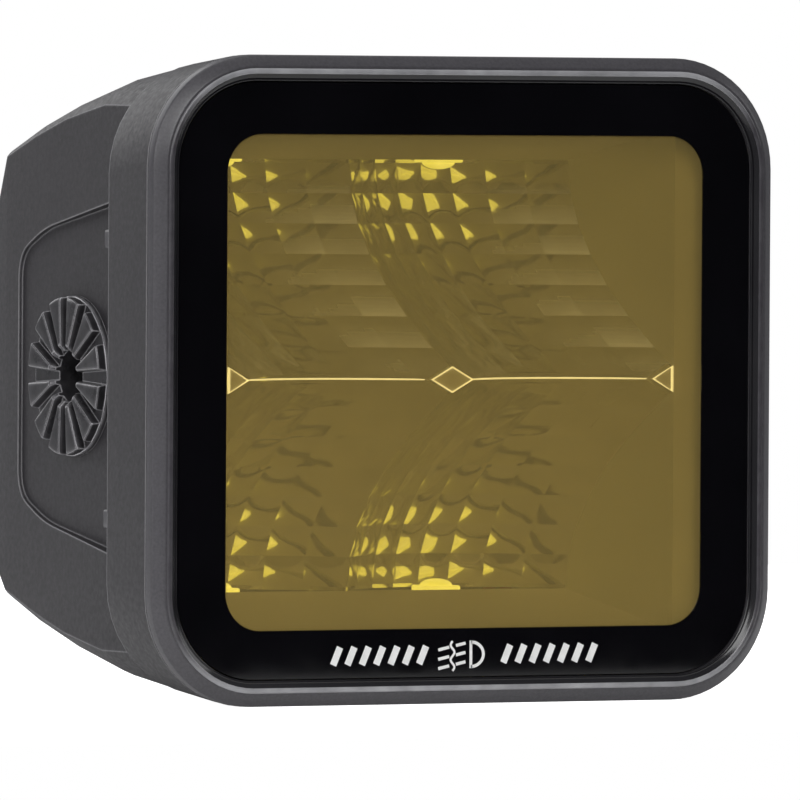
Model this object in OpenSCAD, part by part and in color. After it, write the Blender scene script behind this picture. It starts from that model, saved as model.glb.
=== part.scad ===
// Square LED fog light: die-cast housing, clipped bezel, amber lens, 2 x 2 reflector, LED boards and driver.
// The front faces -Y. The origin is on the tilt axis, midway between the two side hubs.

/* [Face] */
// Width of the front flange
face_w = 91; // [88:0.5:96]
// Height of the front flange
face_h = 84; // [82:0.5:88]
// Radius of the flange's four corners
corner_r = 14.5; // [13:0.5:16]
// Distance from the front lip back to the tilt axis
hub_setback = 35; // [34:0.5:36]

/* [Bezel] */
// Depth of the bezel, front lip to parting line
bezel_depth = 2.8; // [2.6:0.1:3]
// Width of the bezel's chamfer, seen from the front
bezel_chamfer = 1.5; // [1:0.1:1.8]
// Width of the flat lip inside the chamfer
bezel_lip = 1.9; // [1.6:0.1:2.2]
// Gap at the parting line
parting_gap = 0.25; // [0.15:0.05:0.4]
// Distance of each clip from the middle of the side
clip_z = 18.1; // [14:0.1:20]

/* [Lens] */
// Thickness of the lens plate
lens_t = 3.2; // [3:0.1:3.4]
// How far the lens lies behind the front lip
lens_recess = 0.9; // [0.7:0.1:1.2]
// Width of the clear window
window_w = 70; // [66:0.5:71]
// Height of the clear window
window_h = 64; // [60:0.5:65]
// Radius of the window's corners
window_r = 5; // [3:0.5:8]
// How far the window lies below the middle of the face
window_drop = 0.2; // [0:0.1:1]

/* [Housing] */
// Depth of the front flange, front lip to its rear edge
flange_depth = 16; // [15.5:0.1:16.5]
// Half width of the body just behind the flange
side_x_front = 41.5; // [41:0.1:42]
// Half width of the body at its rear corner
side_x_rear = 39.9; // [39.8:0.1:40.4]
// Half width at the floor of the bracket recess
recess_x = 39.5; // [39.3:0.1:39.6]
// Depth from the front lip to the rear corner
corner_depth = 55; // [54.5:0.1:55.5]
// Half height of the body at its rear corner
corner_half_h = 29.9; // [29.7:0.1:30.2]
// Depth from the front lip to the rear wall
wall_depth = 62; // [61.5:0.5:63]
// Depth of the whole lamp with its fins
total_depth = 72; // [70:0.5:76]
// Thickness of a cooling fin
fin_t = 2.2; // [1.6:0.1:2.6]
// Number of fins on each side of the middle channel
fin_count = 4; // [3:1:4]

/* [Hub] */
// Diameter of the serrated disc
hub_d = 21; // [19:0.5:22]
// Number of serration teeth
tooth_count = 12; // [10:2:16]
// Height of a tooth
tooth_h = 1.3; // [0.8:0.1:1.6]
// Wall diameter of the tapped hole (M8)
hub_hole_d = 6.8; // [6.6:0.1:7]

/* [Reflector] */
// Width of one bowl
bowl_w = 33; // [32:0.5:33]
// Height of one bowl
bowl_h = 28.5; // [28:0.25:28.5]
// Depth of a bowl, ridge plane to apex
bowl_depth = 40; // [39:0.5:40]
// Radius of a bowl where it meets the ridge plane
rim_r = 31.6; // [31.5:0.1:32]
// Wall thickness of the reflector
reflector_wall = 1.4; // [1:0.1:1.6]

/* [Electronics] */
// Side of one LED package
led_w = 5; // [4:0.5:6]
// Thickness of the circuit boards
board_t = 1; // [0.8:0.1:1]
// Diameter of the lead wires
lead_d = 1.6; // [1.2:0.1:1.8]

/* [Hidden] */
$fn = 64;
e = 0.01;
loft_fn = 40;
slice = 0.02;
over = 1;

// Bezel and lens
bezel_frame = bezel_chamfer + bezel_lip;
lens_gap = 0.15;
lens_w = face_w - 2 * (bezel_frame + lens_gap);
lens_h = face_h - 2 * (bezel_frame + lens_gap);
lens_r = corner_r - bezel_frame;
bezel_step = 1.6;
clip_w = 2.4;
clip_t = 1.3;
clip_tip = 2.3;
clip_inset = 2.2;
clip_x = face_w / 2 - clip_inset;
clip_gap = 0.15;
mask_t = 0.2;
mask_d = lens_recess + mask_t;
lens_end_d = lens_recess + lens_t;
gasket_t = 1.2;
gasket_w = 2.6;
ledge_d = lens_end_d + gasket_t;

// Reflector, boards and cavity
flange_t = 1.5;
ridge_d = 6;
apex_d = ridge_d + bowl_depth;
four_f = rim_r * rim_r / bowl_depth;
focus = four_f / 4;
edge_depth = bowl_depth - pow(bowl_w / 2, 2) / four_f;
wall_end_d = ridge_d + edge_depth;
mouth_half_h = 33;
reflector_half_w = 38.2;
reflector_half_h = 35.4;
flange_r = 6;
seat_gap = 0.3;
profile_steps = 14;
rim_land = 2;
ceiling_end_d = wall_end_d - 0.5;
ceiling_end_h = bowl_h + 0.4;
cavity_half_w = 36.4;
cavity_front_h = 34.9;
cavity_rear_h = 30.2;
cavity_apex_h = 28.8;
cavity_split_d = 32.8;
board_end_d = 45.8;
cavity_end_d = 48.2;
cavity_r = 4;
pocket_half_w = 34.5;
pocket_half_h = 21.5;
pocket_r = 3;
rear_wall = 3;
pocket_end_d = wall_depth - rear_wall;
board_gap = 0.4;
led_board_z = bowl_h + board_gap;
led_board_w = 69;
led_board_front = 35.6;
led_board_rear = 45.4;
pad_t = cavity_rear_h - led_board_z - board_t;
pad_margin = 2;
led_t = 0.8;
led_dome_d = 4.6;
screw_d = 2.5;
hole_play = 0.2;
screw_head_d = 4.4;
screw_head_h = 1.4;
screw_grip = 1.6;
socket_d = 1.6;
board_screw_x = 32;
board_screw_d = 42;

// Housing
flange_draft = 1;
flange_rear_w = face_w / 2 - flange_draft;
flange_rear_h = face_h / 2 - flange_draft;
flange_overlap = 1;
side_taper = 1;
rear_top_z = 17;
rear_low_z = -24;
front_d = bezel_depth + parting_gap;
// Depth, half width, half height and corner radius of the body between the flange and its rear corner
body_slices = [[24, 43.3, 39.2, 10], [36, 42, 36.1, 6.5], [46, 41, 33.2, 4.5]];
corner_flare = 0.5;
rear_r = 3;
recess_front_z = 22.7;
recess_rear_z = 19.2;
recess_front_d = 22.6;
recess_rear_d = 43;
recess_end_d = 51;
recess_end_z = 15.8;
recess_turn = 3.2;
turn_steps = 6;
fin_pitch = 7.4;
fin_first = 11;
fin_root_d = 54;
fin_z = 23;
fin_tip_z = 17;
fin_slope = 7;
fin_slope_d = total_depth - fin_slope;
boss_d = 17;
sleeve_d = 12;
boss_x = 30.5;
sleeve_x = 29.5;
hub_floor = 1.6;
hub_base_h = 0.8;
tooth_inset = 0.3;
tooth_gap_in = 1.1;
tooth_gap_out = 1.9;
groove_in_r = hub_hole_d / 3;
groove_out_r = hub_d / 2 + over;
hub_sink_d = 8;
hub_sink_h = 0.7;
hub_face_x = recess_x + hub_base_h + tooth_h;

// Driver
standoff_h = 4.9;
driver_d = pocket_end_d - board_t - standoff_h;
driver_w = 64;
driver_h = 40;
driver_r = 2;
driver_screw_x = 29;
driver_screw_z = 17;
standoff_d = 6;
coil_d = 14;
coil_h = 8;
coil_core_d = 6;
coil_flange_h = 1.2;
coil_wire_d = 12;
coil_x = -10;
cap_d = 8;
cap_h = 11;
cap_x = [10, 20];
cap_ring_d = 8.4;
cap_ring_h = 1.5;
part_z = 6;
chip_w = 6.5;
chip_h = 2.3;
chip_x = [-26, -18];
chip_z = -8;
plug_w = 6;
plug_h = 5;
plug_t = 9.4;
plug_x = 28.4;
plug_z = [9, -9];
lead_gap = 1.3;
lead_depth = 44.5;

// Gland and vent, both in the channel between the fins
gland_z = -12;
vent_z = 13;
gland_thread_d = 12;
gland_bore_d = 7.6;
gland_hex = 17;
gland_hex_h = 5;
gland_dome_d = 14.5;
nut_hex = 15;
thread_reach = 3;
nut_h = 2;
gland_short = 1;
gland_end_d = total_depth - gland_short;
seal_bore_d = 5.2;
vent_d = 11;
vent_h = 3.2;
vent_cap_t = 1;
vent_stem_d = 6;
vent_slots = 8;
vent_slot_w = 1;
membrane_t = 0.6;

// Turns a depth behind the front lip into a place on Y.
function at(d) = d - hub_setback;

// Forward distance from a bowl's apex, at a radius from its axis.
function bowl_rise(r) = r * r / four_f;

function unit(v) = v / norm(v);

// Points round a smooth turn at b, which starts and ends a given reach from it, towards a and towards c.
function smooth_turn(a, b, c, reach) =
    let (p = b + reach * unit(a - b), q = b + reach * unit(c - b))
    [for (i = [0 : turn_steps])
        let (s = i / turn_steps)
        (1 - s) * (1 - s) * p + 2 * s * (1 - s) * b + s * s * q];

// A flat outline in X and Z, carried from one depth to another.
module along_y(d0, d1) {
    translate([0, at(d1), 0])
        rotate([90, 0, 0])
            linear_extrude(d1 - d0) children();
}

// An outline of depth and height, carried across X.
module along_x(x0, x1) {
    translate([x0, -hub_setback, 0])
        rotate([90, 0, 90])
            linear_extrude(x1 - x0) children();
}

module rounded_rect(w, h, r) {
    square([w - 2 * r, h], center = true);
    square([w, h - 2 * r], center = true);
    for (x = [-1, 1], z = [-1, 1])
        translate([x * (w / 2 - r), z * (h / 2 - r)]) circle(r);
}

module ring_rect(w, h, r, wall) {
    difference() {
        rounded_rect(w, h, r);
        rounded_rect(w - 2 * wall, h - 2 * wall, max(r - wall, e));
    }
}

module both_sides() {
    children();
    mirror([1, 0, 0]) children();
}

module both_halves() {
    children();
    mirror([0, 0, 1]) children();
}

module cyl_y(d0, d1, dia) {
    translate([0, at(d1), 0]) rotate([90, 0, 0]) cylinder(d = dia, h = d1 - d0);
}

module cyl_x(x0, x1, dia) {
    translate([x0, 0, 0]) rotate([0, 90, 0]) cylinder(d = dia, h = x1 - x0);
}

// ---- Housing ----

module loft_slice(d, half_w, top_z, low_z, r) {
    along_y(d, d + slice)
        translate([0, (top_z + low_z) / 2])
            rounded_rect(2 * half_w, top_z - low_z, r, $fn = loft_fn);
}

module level_slice(d, half_w, half_h, r) {
    loft_slice(d, half_w, half_h, -half_h, r);
}

// The flange narrows a little from the parting line to its rear edge.
module flange_form() {
    hull() {
        level_slice(front_d, face_w / 2, face_h / 2, corner_r);
        level_slice(flange_depth - slice, flange_rear_w, flange_rear_h, corner_r);
    }
}

// Body behind the flange: arched at the top and bottom, with corners that get tighter towards the rear.
module body_form() {
    hull() {
        level_slice(flange_depth - flange_overlap, flange_rear_w, flange_rear_h, corner_r);
        for (s = body_slices) level_slice(s[0], s[1], s[2], s[3]);
        level_slice(corner_depth, side_x_rear + corner_flare, corner_half_h, rear_r);
        loft_slice(wall_depth - slice, side_x_rear - corner_flare, rear_top_z, rear_low_z, rear_r);
    }
}

// The flat sides cut the body off behind the flange.
module side_limits() {
    front = flange_depth - 2 * flange_overlap;
    rear = wall_depth + over;
    rear_x = side_x_rear - side_taper;
    translate([0, -hub_setback, -face_h / 2])
        linear_extrude(face_h)
            polygon([
                [-side_x_front, front], [-side_x_rear, corner_depth], [-rear_x, rear],
                [rear_x, rear], [side_x_rear, corner_depth], [side_x_front, front]
            ]);
}

// The bracket's arm lies in here; its outline narrows towards the rear, with smooth turns.
module bracket_recess() {
    slope = (recess_front_z - recess_rear_z) / (recess_rear_d - recess_front_d);
    mouth = [flange_depth, recess_front_z + slope * (recess_front_d - flange_depth)];
    shoulder = [recess_rear_d, recess_rear_z];
    corner = [recess_end_d, recess_end_z];
    upper = concat(
        [mouth],
        smooth_turn(mouth, shoulder, corner, recess_turn),
        smooth_turn(shoulder, corner, [recess_end_d, 0], recess_turn)
    );
    lower = [for (i = [len(upper) - 1 : -1 : 0]) [upper[i][0], -upper[i][1]]];
    along_x(recess_x, face_w / 2 + e) polygon(concat(upper, lower));
}

module cooling_fins() {
    for (side = [-1, 1], i = [0 : fin_count - 1])
        translate([side * (fin_first + i * fin_pitch) - fin_t / 2, 0, 0])
            along_x(0, fin_t)
                polygon([
                    [fin_root_d, -fin_z], [fin_slope_d, -fin_z], [total_depth, -fin_tip_z],
                    [total_depth, fin_tip_z], [fin_slope_d, fin_z], [fin_root_d, fin_z]
                ]);
}

module cavity() {
    along_y(front_d - e, ledge_d) rounded_rect(lens_w + 2 * lens_gap, lens_h + 2 * lens_gap, lens_r);
    along_y(ledge_d - e, ledge_d + flange_t)
        rounded_rect(2 * (reflector_half_w + seat_gap), 2 * (reflector_half_h + seat_gap), flange_r);
    along_y(ledge_d, cavity_split_d) rounded_rect(2 * cavity_half_w, 2 * cavity_front_h, cavity_r);
    along_y(cavity_split_d - e, board_end_d) rounded_rect(2 * cavity_half_w, 2 * cavity_rear_h, cavity_r);
    along_y(board_end_d - e, cavity_end_d) rounded_rect(2 * cavity_half_w, 2 * cavity_apex_h, cavity_r);
    along_y(cavity_end_d - e, pocket_end_d) rounded_rect(2 * pocket_half_w, 2 * pocket_half_h, pocket_r);
}

module clip_slots(gap) {
    for (x = [-1, 1], z = [-1, 1])
        translate([x * clip_x, 0, z * clip_z])
            along_y(bezel_depth - e, flange_depth + clip_tip)
                square([clip_t + 2 * gap, clip_w + 2 * gap], center = true);
}

module housing() {
    color([0.29, 0.28, 0.29])
    difference() {
        union() {
            difference() {
                union() {
                    flange_form();
                    intersection() {
                        body_form();
                        side_limits();
                    }
                    cooling_fins();
                }
                cavity();
                both_sides() bracket_recess();
            }
            both_sides() cyl_x(boss_x, recess_x, boss_d);
            for (x = [-1, 1], z = [-1, 1])
                translate([x * driver_screw_x, 0, z * driver_screw_z])
                    cyl_y(driver_d + board_t, pocket_end_d + e, standoff_d);
        }
        both_sides() cyl_x(sleeve_x - e, recess_x + e, sleeve_d);
        clip_slots(clip_gap);
        translate([0, 0, gland_z]) cyl_y(pocket_end_d - over, wall_depth + over, gland_thread_d);
        translate([0, 0, vent_z]) cyl_y(pocket_end_d - over, wall_depth + over, vent_stem_d);
        for (x = [-1, 1], z = [-1, 1])
            translate([x * driver_screw_x, 0, z * driver_screw_z])
                cyl_y(driver_d, driver_d + board_t + screw_grip, screw_d);
        both_halves() for (x = [-1, 0, 1])
            translate([x * board_screw_x, at(board_screw_d), cavity_rear_h - e])
                cylinder(d = screw_d, h = screw_grip);
    }
}

// ---- Bezel, lens and seal ----

module bezel() {
    lip_w = face_w / 2 - bezel_chamfer;
    lip_h = face_h / 2 - bezel_chamfer;
    color([0.36, 0.36, 0.37])
    difference() {
        union() {
            hull() {
                level_slice(0, lip_w, lip_h, corner_r - bezel_chamfer);
                level_slice(bezel_depth - bezel_step, face_w / 2, face_h / 2, corner_r);
                level_slice(bezel_depth - slice, face_w / 2, face_h / 2, corner_r);
            }
            clip_slots(0);
        }
        along_y(-e, bezel_depth + e)
            rounded_rect(lens_w + 2 * lens_gap, lens_h + 2 * lens_gap, lens_r + lens_gap);
    }
}

module lens() {
    color([0.62, 0.5, 0.12, 0.45])
    along_y(mask_d, lens_end_d) rounded_rect(lens_w, lens_h, lens_r);
}

// Black border on the front of the lens.
module lens_mask() {
    color([0.03, 0.03, 0.03])
    along_y(lens_recess, mask_d)
        difference() {
            rounded_rect(lens_w, lens_h, lens_r);
            translate([0, -window_drop]) rounded_rect(window_w, window_h, window_r);
        }
}

module lens_gasket() {
    color([0.1, 0.1, 0.1])
    along_y(lens_end_d, ledge_d) ring_rect(lens_w, lens_h, lens_r, gasket_w);
}

// ---- Reflector ----

// The space in front of one bowl, grown by a wall's thickness and cut off level at the top.
module bowl_space(wall, top) {
    r_max = rim_r + wall;
    intersection() {
        translate([bowl_w / 2, at(apex_d + wall), bowl_h])
            rotate([90, 0, 0])
                rotate_extrude()
                    polygon(concat(
                        [for (i = [0 : profile_steps]) [r_max * i / profile_steps,
                            bowl_rise(rim_r * i / profile_steps)]],
                        wall > 0
                            ? [[r_max + rim_land, bowl_depth], [r_max + rim_land, apex_d]]
                            : [[r_max, apex_d]],
                        [[0, apex_d]]
                    ));
        translate([-wall, at(ridge_d - (wall > 0 ? 0 : over)), -wall])
            cube([bowl_w + 2 * wall, apex_d + wall, top + wall]);
    }
}

// Ceilings slope out to the mouth; the side walls join them to the bowls and the flange.
module mouth_frame() {
    both_halves() along_x(-bowl_w - reflector_wall, bowl_w + reflector_wall)
        polygon([
            [ledge_d, mouth_half_h], [ceiling_end_d, ceiling_end_h],
            [ceiling_end_d, bowl_h + reflector_wall], [ledge_d, mouth_half_h + reflector_wall]
        ]);
    both_sides() both_halves() along_x(bowl_w, bowl_w + reflector_wall)
        polygon([
            [ledge_d, mouth_half_h + reflector_wall], [ceiling_end_d, bowl_h + reflector_wall],
            [ceiling_end_d, bowl_h - reflector_wall], [ledge_d, bowl_h - reflector_wall]
        ]);
    along_y(ledge_d, ledge_d + flange_t)
        difference() {
            rounded_rect(2 * reflector_half_w, 2 * reflector_half_h, flange_r);
            square([2 * bowl_w, 2 * mouth_half_h], center = true);
        }
}

module reflector() {
    color([0.8, 0.78, 0.68])
    union() {
        difference() {
            both_halves() both_sides() bowl_space(reflector_wall, bowl_h);
            both_halves() both_sides() bowl_space(0, bowl_h + over);
        }
        mouth_frame();
    }
}

// ---- Hub inserts ----

module tooth_gap(i) {
    rotate(i * 360 / tooth_count)
        polygon([
            [groove_in_r, -tooth_gap_in / 2], [groove_out_r, -tooth_gap_out / 2],
            [groove_out_r, tooth_gap_out / 2], [groove_in_r, tooth_gap_in / 2]
        ]);
}

// Serrated disc with a blind tapped sleeve; it is pressed into the housing.
module hub_insert() {
    difference() {
        union() {
            cyl_x(recess_x, recess_x + hub_base_h, hub_d);
            cyl_x(sleeve_x, recess_x + hub_base_h / 2, sleeve_d);
            translate([recess_x + hub_base_h / 2, 0, 0])
                rotate([90, 0, 90])
                    linear_extrude(tooth_h + hub_base_h / 2)
                        difference() {
                            circle(d = hub_d - tooth_inset);
                            for (i = [0 : tooth_count - 1]) tooth_gap(i);
                        }
        }
        cyl_x(sleeve_x + hub_floor, hub_face_x + over, hub_hole_d);
        translate([hub_face_x - hub_sink_h, 0, 0])
            rotate([0, 90, 0])
                cylinder(d1 = hub_hole_d, d2 = hub_sink_d, h = hub_sink_h + e);
    }
}

module hub_insert_right() {
    color([0.24, 0.24, 0.25]) hub_insert();
}

module hub_insert_left() {
    color([0.24, 0.24, 0.25]) mirror([1, 0, 0]) hub_insert();
}

// ---- LED boards ----

module led_board() {
    difference() {
        translate([-led_board_w / 2, at(led_board_front), led_board_z])
            cube([led_board_w, led_board_rear - led_board_front, board_t]);
        for (x = [-1, 0, 1])
            translate([x * board_screw_x, at(board_screw_d), led_board_z - e])
                cylinder(d = screw_d + hole_play, h = board_t + 2 * e);
    }
}

module led_board_upper() {
    color([0.9, 0.9, 0.88]) led_board();
}

module led_board_lower() {
    color([0.9, 0.9, 0.88]) mirror([0, 0, 1]) led_board();
}

// One package over each bowl, at the bowl's focus.
module leds() {
    for (x = [-bowl_w / 2, bowl_w / 2])
        translate([x, at(apex_d - focus), led_board_z]) {
            translate([-led_w / 2, -led_w / 2, -led_t]) cube([led_w, led_w, led_t]);
            intersection() {
                translate([0, 0, -led_t]) sphere(d = led_dome_d);
                translate([-led_w / 2, -led_w / 2, -led_w]) cube([led_w, led_w, led_w - led_t / 2]);
            }
        }
}

module leds_upper() {
    color([0.95, 0.85, 0.2]) leds();
}

module leds_lower() {
    color([0.95, 0.85, 0.2]) mirror([0, 0, 1]) leds();
}

module thermal_pad() {
    difference() {
        translate([-led_board_w / 2 + pad_margin, at(led_board_front) + pad_margin, led_board_z + board_t])
            cube([led_board_w - 2 * pad_margin, led_board_rear - led_board_front - 2 * pad_margin, pad_t]);
        for (x = [-1, 0, 1])
            translate([x * board_screw_x, at(board_screw_d), led_board_z])
                cylinder(d = screw_head_d, h = board_t + pad_t + e);
    }
}

module thermal_pad_upper() {
    color([0.55, 0.6, 0.75]) thermal_pad();
}

module thermal_pad_lower() {
    color([0.55, 0.6, 0.75]) mirror([0, 0, 1]) thermal_pad();
}

// Pan-head screw: the head is below z = 0 and the shank stands up.
module screw(grip) {
    difference() {
        union() {
            translate([0, 0, -screw_head_h]) cylinder(d = screw_head_d, h = screw_head_h);
            translate([0, 0, -e]) cylinder(d = screw_d, h = grip);
        }
        translate([0, 0, -screw_head_h - e]) cylinder(d = socket_d, h = screw_head_h / 2, $fn = 6);
    }
}

module led_board_screws() {
    color([0.7, 0.7, 0.7])
    both_halves() for (x = [-1, 0, 1])
        translate([x * board_screw_x, at(board_screw_d), led_board_z])
            screw(board_t + pad_t + screw_grip - hole_play);
}

// ---- Driver ----

module driver_board() {
    color([0.1, 0.3, 0.18])
    along_y(driver_d, driver_d + board_t)
        difference() {
            rounded_rect(driver_w, driver_h, driver_r);
            translate([0, gland_z]) circle(d = nut_hex / cos(30) + board_gap);
            translate([-gland_thread_d, gland_z - driver_h]) square([2 * gland_thread_d, driver_h]);
            translate([0, vent_z]) circle(d = vent_stem_d + 2 * board_gap);
            for (x = [-1, 1], z = [-1, 1])
                translate([x * driver_screw_x, z * driver_screw_z]) circle(d = screw_d + hole_play);
        }
}

module driver_screws() {
    color([0.7, 0.7, 0.7])
    for (x = [-1, 1], z = [-1, 1])
        translate([x * driver_screw_x, at(driver_d), z * driver_screw_z])
            rotate([-90, 0, 0]) screw(board_t + screw_grip - hole_play);
}

// Drum core with its winding.
module inductor() {
    color([0.35, 0.2, 0.12])
    translate([coil_x, 0, part_z]) {
        cyl_y(driver_d - coil_flange_h, driver_d, coil_d);
        cyl_y(driver_d - coil_h, driver_d, coil_core_d);
        cyl_y(driver_d - coil_h + coil_flange_h, driver_d - coil_flange_h, coil_wire_d);
        cyl_y(driver_d - coil_h, driver_d - coil_h + coil_flange_h, coil_d);
    }
}

module capacitors() {
    color([0.2, 0.22, 0.3])
    for (x = cap_x) translate([x, 0, part_z]) {
        cyl_y(driver_d - cap_h, driver_d, cap_d);
        cyl_y(driver_d - cap_ring_h, driver_d, cap_ring_d);
    }
}

module power_transistors() {
    color([0.08, 0.08, 0.08])
    for (x = chip_x)
        translate([x - chip_w / 2, at(driver_d - chip_h), chip_z - chip_w / 2])
            cube([chip_w, chip_h, chip_w]);
}

module board_connectors() {
    color([0.92, 0.9, 0.84])
    for (z = plug_z) translate([plug_x - plug_w / 2, at(driver_d - plug_t), z - plug_h / 2])
        cube([plug_w, plug_t, plug_h]);
}

// Two wires from a board connector straight up to an LED board.
module led_leads() {
    rise = led_board_z - plug_z[0] - plug_h / 2;
    for (x = [-lead_gap, lead_gap])
        translate([plug_x + x, at(lead_depth), plug_z[0] + plug_h / 2]) cylinder(d = lead_d, h = rise);
}

module led_leads_upper() {
    color([0.75, 0.1, 0.08]) led_leads();
}

module led_leads_lower() {
    color([0.75, 0.1, 0.08]) mirror([0, 0, 1]) led_leads();
}

// ---- Cable gland and vent ----

module cable_gland() {
    color([0.12, 0.12, 0.12])
    translate([0, 0, gland_z]) difference() {
        union() {
            cyl_y(pocket_end_d - thread_reach, wall_depth + e, gland_thread_d);
            translate([0, at(wall_depth + gland_hex_h), 0])
                rotate([90, 0, 0]) cylinder(d = gland_hex / cos(30), h = gland_hex_h, $fn = 6);
            cyl_y(wall_depth + gland_hex_h - e, gland_end_d, gland_dome_d);
        }
        cyl_y(driver_d, total_depth, gland_bore_d);
    }
}

module gland_seal() {
    color([0.15, 0.15, 0.15])
    translate([0, 0, gland_z]) difference() {
        cyl_y(wall_depth + over, gland_end_d, gland_bore_d);
        cyl_y(wall_depth, total_depth, seal_bore_d);
    }
}

module gland_nut() {
    color([0.14, 0.14, 0.14])
    translate([0, at(pocket_end_d), gland_z])
        rotate([90, 0, 0])
            difference() {
                cylinder(d = nut_hex / cos(30), h = nut_h, $fn = 6);
                translate([0, 0, -e]) cylinder(d = gland_thread_d, h = thread_reach);
            }
}

module breather_vent() {
    color([0.12, 0.12, 0.12])
    translate([0, 0, vent_z]) difference() {
        union() {
            cyl_y(pocket_end_d, wall_depth + e, vent_stem_d);
            cyl_y(wall_depth, wall_depth + vent_h, vent_d);
        }
        cyl_y(pocket_end_d - over, wall_depth + vent_h - vent_cap_t, vent_stem_d / 2);
        translate([0, at(wall_depth + vent_h / 2), 0]) for (i = [0 : vent_slots - 1])
            rotate([0, i * 360 / vent_slots, 0])
                translate([0, -vent_h / 6, -vent_slot_w / 2]) cube([vent_d, vent_h / 3, vent_slot_w]);
    }
}

module vent_membrane() {
    color([0.93, 0.93, 0.93])
    translate([0, 0, vent_z]) cyl_y(pocket_end_d - membrane_t, pocket_end_d, vent_stem_d);
}

housing();
bezel();
lens();
lens_mask();
lens_gasket();
reflector();
hub_insert_left();
hub_insert_right();
led_board_upper();
led_board_lower();
leds_upper();
leds_lower();
thermal_pad_upper();
thermal_pad_lower();
led_board_screws();
driver_board();
driver_screws();
inductor();
capacitors();
power_transistors();
board_connectors();
led_leads_upper();
led_leads_lower();
cable_gland();
gland_seal();
gland_nut();
breather_vent();
vent_membrane();
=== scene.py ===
import math
import bpy
import bmesh
import numpy as np
from mathutils import Matrix, Vector


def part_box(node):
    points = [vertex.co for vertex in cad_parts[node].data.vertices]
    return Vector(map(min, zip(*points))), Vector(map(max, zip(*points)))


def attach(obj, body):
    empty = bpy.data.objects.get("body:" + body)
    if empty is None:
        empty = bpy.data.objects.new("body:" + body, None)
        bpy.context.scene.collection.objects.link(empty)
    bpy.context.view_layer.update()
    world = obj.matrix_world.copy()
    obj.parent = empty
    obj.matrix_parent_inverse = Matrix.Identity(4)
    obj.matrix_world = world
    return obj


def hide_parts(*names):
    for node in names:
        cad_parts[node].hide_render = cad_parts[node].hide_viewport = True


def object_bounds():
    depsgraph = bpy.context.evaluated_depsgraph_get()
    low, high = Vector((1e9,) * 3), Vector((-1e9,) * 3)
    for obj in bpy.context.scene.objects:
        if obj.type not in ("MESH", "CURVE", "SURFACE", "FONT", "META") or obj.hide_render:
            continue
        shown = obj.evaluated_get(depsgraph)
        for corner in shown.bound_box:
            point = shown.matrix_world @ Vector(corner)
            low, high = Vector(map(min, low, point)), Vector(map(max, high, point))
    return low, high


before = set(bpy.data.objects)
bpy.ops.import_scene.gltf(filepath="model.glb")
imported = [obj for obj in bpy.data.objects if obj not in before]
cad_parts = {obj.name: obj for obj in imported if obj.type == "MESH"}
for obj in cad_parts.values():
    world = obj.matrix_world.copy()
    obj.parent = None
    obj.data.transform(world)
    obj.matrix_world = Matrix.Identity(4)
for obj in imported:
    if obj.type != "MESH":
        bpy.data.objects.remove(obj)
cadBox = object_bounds()
print("frame loaded:", len(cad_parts), "nodes")

mm = 0.001
bezelLow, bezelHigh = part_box("bezel")
frontY = bezelLow[1]                 # the front lip
faceHalfW = bezelHigh[0] / mm
faceHalfH = bezelHigh[2] / mm


def place(x, depth, z):
    # millimetres across, behind the front lip and up -> metres in the frame
    x, depth, z = np.broadcast_arrays(x, depth, z)
    return np.stack([x * mm, depth * mm + frontY, z * mm], axis=-1)


def gridFaces(rows, columns, first=0, closeRows=False, closeColumns=False, flip=False):
    # quads between neighbouring points of a rows x columns grid, numbered row by row
    r = np.arange(rows if closeRows else rows - 1)
    c = np.arange(columns if closeColumns else columns - 1)
    rr, cc = np.meshgrid(r, c, indexing="ij")
    nextR = (rr + 1) % rows
    nextC = (cc + 1) % columns
    quads = np.stack([rr * columns + cc, nextR * columns + cc,
                      nextR * columns + nextC, rr * columns + nextC], axis=-1)
    quads = quads.reshape(-1, 4) + first
    return quads[:, ::-1] if flip else quads


class Shell:
    # collects grids and caps into one mesh
    def __init__(self):
        # starts with no points and no faces
        self.points = []
        self.faces = []
        self.count = 0

    def addGrid(self, grid, closeRows=False, closeColumns=False, flip=False):
        # a rows x columns grid of points, joined into quads
        rows, columns = grid.shape[:2]
        self.points.append(grid.reshape(-1, 3))
        quads = gridFaces(rows, columns, self.count, closeRows, closeColumns, flip)
        self.faces.extend(quads.tolist())
        self.count += rows * columns
        return self

    def addCap(self, ring, flip=False):
        # one many-sided face over a ring of points
        self.points.append(ring)
        index = list(range(self.count, self.count + len(ring)))
        self.faces.append(index[::-1] if flip else index)
        self.count += len(ring)
        return self


def makePiece(name, shell, material, sharpDegrees=30.0, outward=True, merge=1e-6):
    # the shell's points and faces become one object at the origin; edges over the angle stay sharp
    mesh = bpy.data.meshes.new(name)
    mesh.from_pydata(np.concatenate(shell.points).tolist(), [], shell.faces)
    bm = bmesh.new()
    bm.from_mesh(mesh)
    bmesh.ops.remove_doubles(bm, verts=bm.verts, dist=merge)
    if outward:
        bmesh.ops.recalc_face_normals(bm, faces=bm.faces)
    finishShading(bm, sharpDegrees)
    bm.to_mesh(mesh)
    bm.free()
    return addObject(name, mesh, material)


def finishShading(bm, sharpDegrees):
    # smooth everywhere, apart from edges where the two faces turn by more than the angle
    limit = math.radians(sharpDegrees)
    for face in bm.faces:
        face.smooth = True
    for edge in bm.edges:
        edge.smooth = edge.calc_face_angle(math.pi) < limit


def addObject(name, mesh, material):
    # puts a finished mesh into the scene at the origin, fixed to the lamp's one body
    piece = bpy.data.objects.new(name, mesh)
    bpy.context.scene.collection.objects.link(piece)
    mesh.materials.clear()
    mesh.materials.append(material)
    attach(piece, "root")
    return piece


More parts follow.
